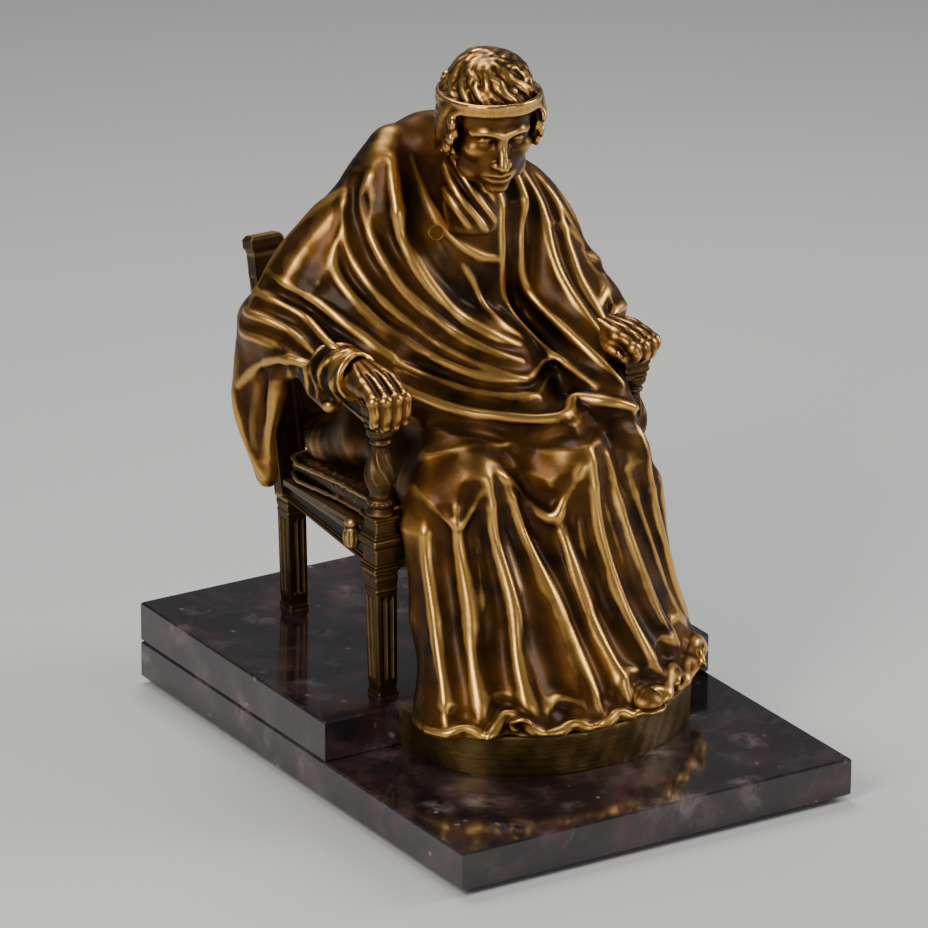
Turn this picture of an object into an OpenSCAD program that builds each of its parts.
// Bronze statuette of a robed, seated figure on a chair, on a two-step marble
// base. Millimetres. Origin: centre of the underside of the felt pads, +Z up,
// the figure faces -Y.

/* [Marble base] */
// Width of both marble slabs, left to right
base_w = 226; // [222:1:240]
// Depth of the lower marble slab, front to back
base_d = 313; // [311:1:325]
// Thickness of the lower marble slab
lower_t = 20; // [18:0.5:22]
// Thickness of the upper marble slab, which is also the height of the bronze terrace
upper_t = 21.5; // [20:0.5:24]
// Distance from the front of the lower slab to the front of the upper slab
step_d = 128.7; // [127:0.1:130]
// Thickness of the felt pads under the base
pad_t = 3; // [2:0.5:4]
// Diameter of each felt pad
pad_dia = 22; // [16:1:26]

/* [Fixings] */
// Diameter of the threaded studs that hold the bronze to the marble
stud_d = 4; // [3:0.5:5]
// Diameter of the clearance holes in the marble
clear_d = 5.5; // [5.2:0.1:7]
// Width of the counterbores under the lower slab
cbore_d = 14; // [12.5:0.5:16]
// Depth of the counterbores under the lower slab
cbore_h = 9; // [8:0.5:10]
// Diameter of the dowels between the two slabs
dowel_d = 6; // [5:0.5:7]

/* [Chair] */
// Height of the chair legs, marble to seat rail, at the front
leg_h = 67.5; // [64:0.5:70]
// Side of a front leg at the foot
leg_foot = 11.5; // [10:0.5:13]
// Side of a front leg at the top
leg_top = 13.5; // [12:0.5:15]
// Half of the seat's width at the front
seat_half_f = 80; // [79:0.5:82]
// Angle by which each side rail turns inward toward the back
side_turn = 8; // [7:0.5:9]
// Thickness of the seat rails
rail_t = 9; // [8:0.5:10]
// Lean of the back posts
post_lean = 12.8; // [12:0.2:13]
// Length of the back posts
post_len = 126; // [122:1:128]

/* [Figure] */
// Thickness of the cast bronze walls
wall = 4; // [3:0.5:5]
// Width of the head with its hair
head_w = 53; // [50:1:54]
// Height of the head with its hair
head_h = 68; // [64:1:70]

/* [Hidden] */
e = 0.02;
xc = 2.5;                              // centre plane of the chair
z1 = pad_t;                            // underside of the lower slab
z2 = pad_t + lower_t;                  // top of the lower slab
z3 = z2 + upper_t;                     // top of the upper slab and of the terrace
yf = -base_d / 2;                      // front of the lower slab
yu = yf + step_d;                      // front of the upper slab
z_leg = z3 + leg_h;                    // underside of the seat rails at the front
leg_f = [-71, -10.5];                  // right front leg, centre of its top
leg_r = [-50.5, 110.5];                // right rear leg, centre of its top
foot_f = [-69.5, -11];                 // the same legs at the marble
foot_r = [-48.5, 111];
terrace_fix = [[-34, -52], [46, -52]]; // the two studs under the terrace
blk = 14;                              // side of the armrest block
blk_x = -70;                           // its centre
blk_y = -10;

// ---------- helpers ----------
module left() { translate([2 * xc, 0, 0]) mirror([1, 0, 0]) children(); }
function cr(a, b, c, d, t) = 0.5 * ((2 * b) + (c - a) * t + (2 * a - 5 * b + 4 * c - d) * t * t
                             + (3 * b - a - 3 * c + d) * t * t * t);
// closed smooth outline through the points p, k steps between two points
function loop(p, k) = let(n = len(p)) [for (i = [0 : n - 1], j = [0 : k - 1])
    cr(p[(i + n - 1) % n], p[i], p[(i + 1) % n], p[(i + 2) % n], j / k)];
function inward(p, c, s) = [for (q = p) c + (q - c) * s];
// a stack of ellipses [z, cx, cy, rx, ry], each joined to the next by a hull
module disc(s, w) translate([s[1], s[2], s[0]]) linear_extrude(e) scale([s[3] - w, s[4] - w]) circle(1, $fn = 36);
module stack(p, w = 0) for (i = [0 : len(p) - 2]) hull() { disc(p[i], w); disc(p[i + 1], w); }
// a chain of balls [x, y, z, r], each joined to the next by a hull
module ball(b, s = 14) translate([b[0], b[1], b[2]]) sphere(b[3], $fn = s);
module chain(p, s = 14) for (i = [0 : len(p) - 2]) hull() { ball(p[i], s); ball(p[i + 1], s); }
module box(a, b) translate(a) cube(b - a);

// ---------- base ----------
module felt_pads() color([0.09, 0.13, 0.1])
  for (x = [-1, 1], y = [-1, 1])
    translate([x * (base_w / 2 - 22), y * (base_d / 2 - 22), 0]) cylinder(d = pad_dia, h = pad_t, $fn = 48);

module slab_plate(w, y0, y1, za, zb) {
  // top and bottom edges eased by 1 mm
  c = 1;
  hull() {
    box([-w / 2 + c, y0 + c, za], [w / 2 - c, y1 - c, zb]);
    box([-w / 2, y0, za + c], [w / 2, y1, zb - c]);
  }
}
module dowel_at() for (x = [-1, 1]) translate([x * 92, 20, 0]) children();
module leg_at() { for (p = [foot_f, foot_r]) { translate([p[0], p[1], 0]) children(); translate([2 * xc - p[0], p[1], 0]) children(); } }
module terrace_at() for (p = terrace_fix) translate([p[0], p[1], 0]) children();

module lower_slab() color([0.3, 0.22, 0.23]) difference() {
  slab_plate(base_w, yf, -yf, z1, z2);
  leg_at() { translate([0, 0, z1 - 1]) cylinder(d = clear_d, h = lower_t + 2, $fn = 32); translate([0, 0, z1 - 1]) cylinder(d = cbore_d, h = cbore_h + 1, $fn = 48); }
  terrace_at() { translate([0, 0, z1 - 1]) cylinder(d = clear_d, h = lower_t + 2, $fn = 32); translate([0, 0, z1 - 1]) cylinder(d = cbore_d, h = cbore_h + 1, $fn = 48); }
  dowel_at() translate([0, 0, z2 - 9]) cylinder(d = dowel_d, h = 10, $fn = 32);
}
module upper_slab() color([0.34, 0.25, 0.26]) difference() {
  slab_plate(base_w, yu, -yf, z2, z3);
  leg_at() translate([0, 0, z2 - 1]) cylinder(d = clear_d, h = upper_t + 2, $fn = 32);
  dowel_at() translate([0, 0, z2 - 1]) cylinder(d = dowel_d, h = 10, $fn = 32);
}
module slab_dowels() color("silver") dowel_at() translate([0, 0, z2 - 8.8]) cylinder(d = dowel_d, h = 17.6, $fn = 32);
module washer() translate([0, 0, z1 + cbore_h - 1]) difference() { cylinder(d = 12, h = 1, $fn = 48); translate([0, 0, -1]) cylinder(d = stud_d + 0.4, h = 3, $fn = 32); }
module nut() translate([0, 0, z1 + cbore_h - 4.2]) difference() { cylinder(d = 8.1, h = 3.2, $fn = 6); translate([0, 0, -1]) cylinder(d = stud_d, h = 6, $fn = 32); }
module stud_washers() color("silver") { leg_at() washer(); terrace_at() washer(); }
module stud_nuts() color("silver") { leg_at() nut(); terrace_at() nut(); }
module leg_studs() color("silver") leg_at() translate([0, 0, z1 + 2.5]) cylinder(d = stud_d, h = z3 - z1 - 2.5 + 12, $fn = 32);
module terrace_studs() color("silver") terrace_at() translate([0, 0, z1 + 2.5]) cylinder(d = stud_d, h = z2 - z1 - 2.5 + 13, $fn = 32);

// ---------- terrace ----------
terrace_pts = [[-69, -40], [-66, -68], [-48, -88], [-20, -101], [10, -103], [38, -96], [62, -82], [80, -62], [87, -42]];
terrace_line = concat([[-68, yu]], [for (i = [0 : len(terrace_pts) - 2], j = [0 : 3])
    cr(terrace_pts[max(i - 1, 0)], terrace_pts[i], terrace_pts[i + 1], terrace_pts[min(i + 2, len(terrace_pts) - 1)], j / 4)],
    [[87, -42], [88, yu]]);
module terrace() color([0.55, 0.42, 0.2]) difference() {
  translate([0, 0, z2]) linear_extrude(upper_t) polygon(terrace_line);
  difference() {
    translate([0, 0, z2 - 1]) linear_extrude(upper_t - wall + 1) polygon(inward(terrace_line, [8, -56], 0.9));
    terrace_at() translate([0, 0, z2 - 2]) cylinder(d = 14, h = upper_t, $fn = 32);
  }
  terrace_at() translate([0, 0, z2 - 1]) cylinder(d = stud_d, h = 14, $fn = 32);
}

// ---------- chair ----------
module leg(a, s0, b, s1, h, lift = 0) difference() {
  hull() {
    translate([b[0] - s1 / 2, b[1] - s1 / 2, z3 + h - 9]) cube([s1, s1, 9 + lift]);
    translate([a[0] - s0 / 2, a[1] - s0 / 2, z3 + 1.5]) cube([s0, s0, 1]);
    translate([a[0] - s0 / 2 + 1.2, a[1] - s0 / 2 + 1.2, z3]) cube([s0 - 2.4, s0 - 2.4, 1]);
  }
  translate([a[0], a[1], z3 - 1]) cylinder(d = stud_d, h = 13, $fn = 32);
}
module front_leg() color([0.42, 0.3, 0.15]) leg(foot_f, leg_foot, leg_f, leg_top, leg_h);
module rear_leg() color([0.42, 0.3, 0.15]) leg(foot_r, leg_foot, leg_r, leg_foot + 0.5, leg_h - 6);

// side rail: its outer face starts at the front corner and turns inward
module at_side() translate([xc - seat_half_f, -17, 0]) rotate([0, 0, -side_turn]) children();
module seat_rail() color([0.45, 0.33, 0.18])
  at_side() rotate([90, 0, 90]) linear_extrude(rail_t)
    polygon([[0, z_leg], [134, z_leg - 6], [134, z_leg + 1.5], [0, z_leg + 17]]);
module cross_rail(y0, y1, za, zb, m) color([0.45, 0.33, 0.18]) difference() {
  box([-90, y0, za], [95, y1, zb]);
  // mitred against the side rails
  for (s = [0, 1]) if (s == 0) at_side() translate([-40, -20, za - 5]) cube([40 + m, 200, 60]);
  else left() at_side() translate([-40, -20, za - 5]) cube([40 + m, 200, 60]);
}
module seat_rail_front() cross_rail(-16.5, -8, z_leg, z_leg + 16, rail_t);
module seat_rail_rear() cross_rail(107, 114, z_leg - 4.5, z_leg + 2.5, rail_t);
// the seat slopes down to the back
module seat_slope() translate([0, -17, z_leg + 17]) rotate([-6.45, 0, 0]) children();
seat_fix = [[-52, 12], [52, 12], [-40, 96], [40, 96]];
module seat_board() color([0.4, 0.3, 0.17]) seat_slope() difference() {
  linear_extrude(3) polygon([[xc - 78, 1], [xc + 78, 1], [xc + 62, 121], [xc - 62, 121]]);
  for (p = seat_fix) translate([xc + p[0], p[1], -1]) cylinder(d = 4, h = 5, $fn = 32);
  for (p = fig_fix) translate([xc + p[0], p[1], -1]) cylinder(d = 4.5, h = 5, $fn = 32);
}
fig_fix = [[-38, 66], [38, 66]];
module seat_cushion() color([0.5, 0.37, 0.2]) seat_slope() difference() {
  hull() for (s = [[-1, 5, 68.5], [-1, 118, 53], [1, 5, 68.5], [1, 118, 53]])
    for (z = [6, 12]) translate([xc + s[0] * s[2], s[1], z + (z > 6 ? 2 : 0)]) sphere(z > 6 ? 4.5 : 3, $fn = 16);
  for (x = [-32, 0, 32]) translate([xc + x * 0.95, 62, 2.9]) linear_extrude(10) polygon([[-13, -48], [13, -48], [11, 48], [-11, 48]]);
  for (p = fig_fix) translate([xc + p[0], p[1], -1]) cylinder(d = 4.5, h = 30, $fn = 32);
}
module seat_screws() color("silver") seat_slope() for (p = seat_fix) translate([xc + p[0], p[1], -4]) cylinder(d = 4, h = 9, $fn = 24);
module figure_bolts() color("silver") seat_slope() for (p = fig_fix) translate([xc + p[0], p[1], -3.2]) {
  cylinder(d = 8, h = 3, $fn = 6); cylinder(d = 4, h = 26, $fn = 24);
}
module tassel() color([0.55, 0.42, 0.22]) translate([-77.2, 6, z_leg + 20]) rotate([0, 0, -side_turn])
  hull() { scale(1) sphere(4, $fn = 20); translate([0, 0, -7]) sphere(5, $fn = 20); translate([0, 0, -12]) sphere(2, $fn = 16); }
module cushion_tassels() { difference() { tassel(); at_side() translate([0, -5, z_leg - 10]) cube([20, 60, 60]); }
  difference() { left() tassel(); left() at_side() translate([0, -5, z_leg - 10]) cube([20, 60, 60]); } }

// block above each front corner, with mouldings, turned baluster and armrest
zb0 = z_leg + 17;
module square_tier(s, za, zb) translate([leg_f[0] - s / 2, leg_f[1] - s / 2, za]) cube([s, s, zb - za]);
module corner_block() color([0.42, 0.3, 0.15]) difference() {
  union() { square_tier(14, zb0 + 0.5, zb0 + 3); square_tier(12.6, zb0 + 3, zb0 + 8.5); square_tier(14.4, zb0 + 8.5, zb0 + 11.5); }
  translate([leg_f[0], leg_f[1], zb0 - 1]) cylinder(d = 3, h = 14, $fn = 24);
}
module arm_baluster() color([0.45, 0.33, 0.17]) translate([leg_f[0], leg_f[1], zb0 + 11.5]) difference() {
  rotate_extrude($fn = 48) polygon([[0, 0], [5.8, 0], [6.6, 1.2], [6.4, 2.6], [5.2, 3.6], [6.8, 9], [7, 14], [6.2, 20], [4.8, 27],
    [3.9, 33], [4.2, 35.6], [8.2, 36.6], [8.4, 37.6], [8.2, 38.6], [6.2, 39.6], [6.6, 43], [7.6, 45], [0, 45]]);
  translate([0, 0, -1]) cylinder(d = 3, h = 50, $fn = 24);
}
module baluster_rods() color("silver") for (x = [leg_f[0], 2 * xc - leg_f[0]]) translate([x, leg_f[1], zb0 + 0.5]) cylinder(d = 3, h = 62, $fn = 24);
za0 = zb0 + 56.5;                      // underside of the armrest block
module armrest() color([0.42, 0.3, 0.15]) difference() {
  union() {
    box([blk_x - 7.6, blk_y - 7.6, za0], [blk_x + 7.6, blk_y + 9, za0 + 3]);
    box([blk_x - 6.4, blk_y - 6.4, za0 + 3], [blk_x + 6.4, blk_y + 9, za0 + 8]);
    box([blk_x - 7.4, blk_y - 7.4, za0 + 8], [blk_x + 7.4, blk_y + 9, za0 + 12]);
    translate([blk_x - 5.5, blk_y + 7, 0]) rotate([0, 0, -side_turn]) translate([0, 0, za0 - 1]) cube([11, 150, 11]);
  }
  translate([leg_f[0], leg_f[1], za0 - 1]) cylinder(d = 3, h = 7, $fn = 24);
  post_space();
}
module at_post() translate([0, 107, z_leg - 6]) rotate([-post_lean, 0, 0]) children();
module post_space() at_post() translate([-120, -0.1, -60]) cube([300, 80, 260]);
module back_post() color([0.42, 0.3, 0.15]) difference() {
  at_post() translate([-58, 0, -10]) cube([17, 8, post_len + 10]);
  box([-80, 80, 0], [0, 160, z_leg - 6]);
  at_side() translate([0, 0, 60]) cube([rail_t, 134, z_leg - 60 + 1.5]);
  box([-90, 106, z_leg - 5], [95, 114, z_leg + 2.5]);
}
module post_cap() color([0.6, 0.44, 0.2]) at_post() {
  translate([-56, 1, post_len]) cube([14, 6, 3]);
  translate([-59, -1, post_len + 3]) cube([19.5, 10, 3.5]);
  hull() { translate([-59, -1, post_len + 6.5]) cube([19.5, 10, 0.1]); translate([-54, 2.5, post_len + 10]) cube([9.5, 3, 0.1]); }
}
module back_panel() color([0.36, 0.26, 0.14]) at_post() translate([-41, 1.5, 34]) cube([87, 4.5, 78]);
module back_rails() color([0.45, 0.33, 0.18]) at_post() {
  translate([-41, 0.5, 112]) cube([87, 7, 12]);
  translate([-41, 0.5, 24]) cube([87, 7, 10]);
}

// ---------- figure ----------
torso = [[132, xc, 52, 64, 36], [150, xc, 52, 68, 37], [176, xc, 54, 74, 38], [200, xc, 56, 80, 40], [222, xc, 57, 84, 42], [244, xc, 56, 82, 44],
         [262, xc, 55, 73, 45], [280, xc, 57, 61, 38], [296, xc, 61, 48, 28], [308, xc, 64, 36, 18], [316, xc, 66, 25, 10]];
module torso_solid() stack(torso);
hem = [[-72, -36], [-78, -60], [-68, -81], [-46, -92], [-22, -102], [6, -103.5], [32, -98], [58, -85], [78, -68], [90, -50], [84, -36], [58, -27], [4, -24], [-48, -26]];
knee = [[-48, -32], [-52, -42], [-46, -54], [-36, -58], [-16, -56], [4, -53], [20, -56], [36, -58], [50, -52], [54, -42], [52, -32], [36, -23], [4, -21], [-34, -23]];
module skirt_ring(t, z, s) translate([0, 0, z]) linear_extrude(e)
  polygon(inward(loop([for (i = [0 : len(hem) - 1]) hem[i] * (1 - t) + knee[i] * t], 3), [4, -52 + 10 * t], s));
skirt_t = [[0, 44.5], [0.22, 50], [0.45, 62], [0.62, 78], [0.76, 94], [0.88, 112], [0.96, 130], [1, 150]];
module skirt(s, top) for (i = [0 : len(skirt_t) - 2]) hull() {
  skirt_ring(skirt_t[i][0], skirt_t[i][1] + z3 - 44.5, s); skirt_ring(skirt_t[i + 1][0], min(skirt_t[i + 1][1], top), s); }
module gown_skirt() color([0.62, 0.46, 0.22]) difference() {
  union() { skirt(1, 150); hull() { skirt_ring(1, 149, 1); skirt_ring(1, 150, 1); } }
  skirt(0.88, 143);
  left_shoe_solid();
}
lap_r = [[-33, -42, 156, 14], [-32, -20, 160, 17], [-30, 10, 164, 20], [-28, 40, 168, 22]];
lap_l = [[26, -42, 155, 14], [29, -20, 159, 17], [32, 10, 163, 20], [34, 40, 168, 22]];
module lap_solid() { chain(lap_r, 20); chain(lap_l, 20);
  for (i = [0 : 2]) hull() { ball(lap_r[i] - [0, 0, 4, 4]); ball(lap_l[i] - [0, 0, 4, 4]); ball(lap_r[i + 1] - [0, 0, 4, 4]); ball(lap_l[i + 1] - [0, 0, 4, 4]); } }
module lap_cavity() for (p = [lap_r, lap_l]) for (i = [0 : 1]) hull() { ball([p[i][0], p[i][1] + 4, p[i][2] - 8, p[i][3] - 6]); ball([p[i + 1][0], p[i + 1][1], p[i + 1][2] - 8, p[i + 1][3] - 6]); }
module above_seat() seat_slope() translate([-140, -60, 18.6]) cube([280, 240, 250]);
module lap_drapery() color([0.66, 0.49, 0.24]) difference() {
  intersection() { lap_solid(); union() { above_seat(); box([-100, -80, 150], [100, -12, 220]); } box([-100, -80, 150], [100, 60, 220]); }
  torso_solid();
  lap_cavity();
}
module mantle_torso() color([0.6, 0.44, 0.22]) difference() {
  intersection() { torso_solid(); above_seat(); }
  // the cored inside, above a floor with one core hole and two tapped holes
  intersection() { stack([for (i = [0 : len(torso) - 2]) torso[i]], wall); seat_slope() translate([-140, -60, 18.6 + wall + 1]) cube([280, 240, 250]); }
  seat_slope() translate([xc, 70, 10]) linear_extrude(30) scale([1.5, 1]) circle(d = 30, $fn = 36);
  figure_at() translate([0, 0, 10]) cylinder(d = 4, h = 30, $fn = 24);
  armrest_space();
}
module figure_at() seat_slope() for (p = fig_fix) translate([xc + p[0], p[1], 0]) children();
module armrest_space() { armrest_hull(); left() armrest_hull(); back_space(); }
module back_space() at_post() translate([-120, -0.6, -60]) cube([300, 80, 260]);
module armrest_hull() hull() {
  box([blk_x - 7.8, blk_y - 7.8, za0 - 0.2], [blk_x + 7.6, blk_y + 9.2, za0 + 12.2]);
  translate([blk_x - 5.7, blk_y + 7, 0]) rotate([0, 0, -side_turn]) translate([0, 100, za0 - 1.2]) cube([11.4, 10, 11.4]);
}
module sleeve_right_solid() chain([[-58, 58, 262, 22], [-70, 60, 246, 24], [-80, 62, 228, 22], [-84, 60, 214, 19], [-80, 44, 208, 17], [-75, 26, 208, 14], [-72, 16, 209, 11]], 18);
module sleeve_right() color([0.6, 0.45, 0.22]) difference() {
  sleeve_right_solid(); torso_solid(); armrest_space(); cuff_r_solid();
  chain([[-80, 60, 216, 12], [-76, 36, 210, 9], [-73, 22, 209, 6]], 12);
}
module cuff_r_solid() hull() { ball([-76, 30, 203, 15], 20); ball([-73, 14, 206, 12], 20); ball([-80, 30, 192, 9], 16); }
module cuff_right() color([0.68, 0.5, 0.24]) render() difference() {
  cuff_r_solid(); armrest_space(); torso_solid(); hand_r_solid();
  for (i = [0 : 7]) hull() ball([-74, 26 - 3 * i, 208, 4], 8);
}
fingers_r = [[-79.5, 2], [-74, 0], [-68.5, 0], [-63.5, 2]];
module hand_r_solid() {
  hull() { ball([-72, 14, 210, 8]); ball([-78, -8, 210, 5.5]); ball([-66, -8, 210, 5.5]); ball([-72, 2, 211, 8]); }
  for (f = fingers_r) { hull() { ball([f[0], -10 + f[1], 211, 4], 12); ball([f[0], -22 + f[1] / 2, 207, 3.6], 12); }
    hull() { ball([f[0], -22 + f[1] / 2, 207, 3.6], 12); ball([f[0] + 0.4, -22.5, 190 + f[1], 3], 12); } }
}
module hand_right() color([0.72, 0.54, 0.28]) difference() { hand_r_solid(); armrest_space(); arm_posts(); wrist_hole(-72); }
module arm_posts() for (x = [leg_f[0], 2 * xc - leg_f[0]]) translate([x, leg_f[1], 120]) cylinder(r = 8.7, h = za0 - 119.9, $fn = 36);
module wrist_hole(x) translate([x, 2, 210]) rotate([-90, 0, 0]) cylinder(d = 3, h = 40, $fn = 20);
module sleeve_left_solid() chain([[63, 58, 262, 22], [75, 60, 246, 24], [85, 60, 228, 22], [89, 56, 214, 19], [87, 40, 210, 17], [81, 24, 210, 15], [78, 14, 210, 12]], 18);
module sleeve_left() color([0.6, 0.45, 0.22]) difference() {
  sleeve_left_solid(); torso_solid(); armrest_space(); hand_l_solid();
  chain([[85, 56, 216, 12], [82, 36, 212, 9], [79, 20, 211, 7]], 12);
}
module hand_l_solid() {
  hull() { ball([77, 12, 211, 9]); ball([70, -8, 211, 6]); ball([82, -8, 210, 6]); ball([77, 0, 212, 9]); }
  for (f = [[68, 2], [73.5, 0], [79, 0], [84, 2]]) { hull() { ball([f[0], -10 + f[1], 211, 4], 12); ball([f[0] + 1, -21 + f[1] / 2, 208, 3.6], 12); }
    hull() { ball([f[0] + 1, -21 + f[1] / 2, 208, 3.6], 12); ball([f[0] + 1.4, -22.5, 193 + f[1], 3], 12); } }
}
module hand_left() color([0.72, 0.54, 0.28]) difference() { hand_l_solid(); armrest_space(); arm_posts(); wrist_hole(77); }
module wrist_pins() color("silver") { translate([-72, 2.4, 210]) rotate([-90, 0, 0]) cylinder(d = 3, h = 18, $fn = 20); translate([77, 2.4, 210]) rotate([-90, 0, 0]) cylinder(d = 3, h = 18, $fn = 20); }

// the mantle's hanging end outside the right armrest
module mantle_fall_right() color([0.58, 0.43, 0.2]) difference() {
  union() {
    hull() { ball([-84, 80, 214, 7]); ball([-84, 50, 206, 6]); ball([-86, 92, 190, 6]); ball([-84, 54, 186, 5]); }
    hull() { ball([-86, 92, 190, 6]); ball([-84, 54, 186, 5]); ball([-88, 96, 160, 5]); ball([-84, 64, 160, 5]); }
    hull() { ball([-88, 96, 160, 5]); ball([-84, 64, 160, 5]); ball([-84, 92, 136, 5]); ball([-82, 72, 140, 5]); }
    hull() { ball([-84, 92, 136, 5]); ball([-82, 72, 140, 5]); ball([-78, 86, 126, 4]); }
    for (i = [0 : 3]) hull() { ball([-85 + i, 86 - 4 * i, 196 - 6 * i, 7], 10); ball([-85 + i, 82 - 4 * i, 176 - 6 * i, 6], 10); }
  }
  torso_solid(); armrest_space(); sleeve_right_solid(); chair_block();
}
module chair_block() at_side() translate([0, 0, 60]) cube([200, 140, 66 + 34]);
// the mantle's long end in front of the left armrest, down to the hem
module mantle_fall_left() color([0.58, 0.43, 0.2]) difference() {
  union() {
    hull() { ball([64, -32, 176, 8]); ball([56, -38, 160, 8]); ball([78, -30, 158, 6]); ball([60, -34, 140, 8]); ball([76, -32, 136, 6]); }
    hull() { ball([60, -34, 140, 8]); ball([76, -32, 136, 6]); ball([58, -36, 112, 8]); ball([76, -34, 110, 6]); }
    hull() { ball([58, -36, 112, 8]); ball([76, -34, 110, 6]); ball([62, -40, 84, 9]); ball([78, -38, 82, 7]); }
    hull() { ball([62, -40, 84, 9]); ball([78, -38, 82, 7]); ball([70, -46, 62, 9]); ball([86, -42, 60, 7]); }
    hull() { ball([70, -46, 62, 9]); ball([86, -42, 60, 7]); ball([78, -50, 53, 7]); ball([92, -44, 51, 6]); }
    for (i = [0 : 3]) hull() { ball([62 + 3 * i, -34 - 2 * i, 150 - 20 * i, 7], 10); ball([64 + 3 * i, -35 - 2 * i, 130 - 20 * i, 7], 10); }
  }
  skirt(1, 150); translate([0, 0, 1]) skirt(1, 150); lap_solid(); torso_solid(); armrest_space();
  box([-120, -16.6, 0], [120, 200, 182]); box([0, -80, 0], [120, 0, z3]); hand_l_solid();
}
module left_shoe_solid() intersection() { hull() { ball([30, -98, z3 + 4, 7]); ball([35, -101, z3 + 3, 5]); ball([22, -84, z3 + 8, 9]); } box([-20, -120, z3], [80, -60, z3 + 20]); }
module left_shoe() color([0.7, 0.52, 0.26]) left_shoe_solid();

module collar_solid() chain([[2, 42, 276, 22], [1, 34, 280, 20], [0, 26, 282, 17], [0, 20, 284, 14], [2, 30, 296, 16], [4, 36, 302, 15], [5, 40, 306, 13], [5, 44, 308, 11], [5, 46, 310, 10]], 20);
module shirt_collar() color([0.6, 0.45, 0.24]) difference() { collar_solid(); torso_solid(); pin_hole(); head_solid(); }
k = head_w / 53;                       // the head's width and height against its own drawing
v = head_h / 68;
module head_solid() translate([7, 15, 325]) rotate([14, 0, -14]) {
  for (p = [[[0, 6, 8 * v, 26 * k], [0, -2, -6 * v, 23 * k]], [[0, -4, 8 * v, 25 * k], [0, -9, -14 * v, 18 * k]], [[0, -9, -14 * v, 18 * k], [0, -12, -22 * v, 13 * k]],
            [[0, 6, 8 * v, 26 * k], [0, 14, -8 * v, 18 * k]], [[0, 0, 12 * v, 25 * k], [0, -4, 12 * v, 24 * k]]]) hull() { ball(p[0], 24); ball(p[1], 24); }
  for (s = [-1, 1]) hull() { ball([s * 17 * k, 2, 4, 9], 14); ball([s * 16 * k, 4, -16, 8], 14); }
  hull() { ball([0, -24, -2, 3], 10); ball([0, -27, -8, 2.5], 10); ball([0, -23, -9, 3.5], 10); }
}
module head() color([0.62, 0.46, 0.24]) difference() {
  head_solid(); torso_solid();
  pin_hole();
  translate([7, 15, 325]) rotate([14, 0, -14]) hull() { ball([0, 3, 4, 15], 16); ball([0, 2, -10, 12], 16); ball([0, 16, -40, 10], 12); }
}
module pin_hole() translate([5, 40, 280]) rotate([18, 0, 0]) cylinder(d = 6, h = 40, $fn = 20);
module neck_pin() color("silver") translate([5, 40, 280]) rotate([18, 0, 0]) translate([0, 0, 1]) cylinder(d = 6, h = 24, $fn = 20);
module chest_plug() color([0.75, 0.56, 0.28]) difference() {
  translate([-22, 16, 264]) rotate([72, 0, -22]) cylinder(d = 8, h = 9, $fn = 40);
  torso_solid();
}

felt_pads();
lower_slab();
upper_slab();
slab_dowels();
stud_nuts();
stud_washers();
leg_studs();
terrace_studs();
terrace();
left_shoe();
front_leg();  // front_leg_right
left() front_leg();  // front_leg_left
rear_leg();  // rear_leg_right
left() rear_leg();  // rear_leg_left
seat_rail_front();
seat_rail_rear();
seat_rail();  // seat_rail_right
left() seat_rail();  // seat_rail_left
seat_board();
seat_cushion();
cushion_tassels();
seat_screws();
figure_bolts();
corner_block();  // corner_block_right
left() corner_block();  // corner_block_left
arm_baluster();  // arm_baluster_right
left() arm_baluster();  // arm_baluster_left
baluster_rods();
armrest();  // armrest_right
left() armrest();  // armrest_left
back_post();  // back_post_right
left() back_post();  // back_post_left
post_cap();  // post_cap_right
left() post_cap();  // post_cap_left
back_panel();
back_rails();
gown_skirt();
lap_drapery();
mantle_torso();
mantle_fall_right();
mantle_fall_left();
sleeve_right();
sleeve_left();
cuff_right();
hand_right();
hand_left();
wrist_pins();
shirt_collar();
head();
neck_pin();
chest_plug();
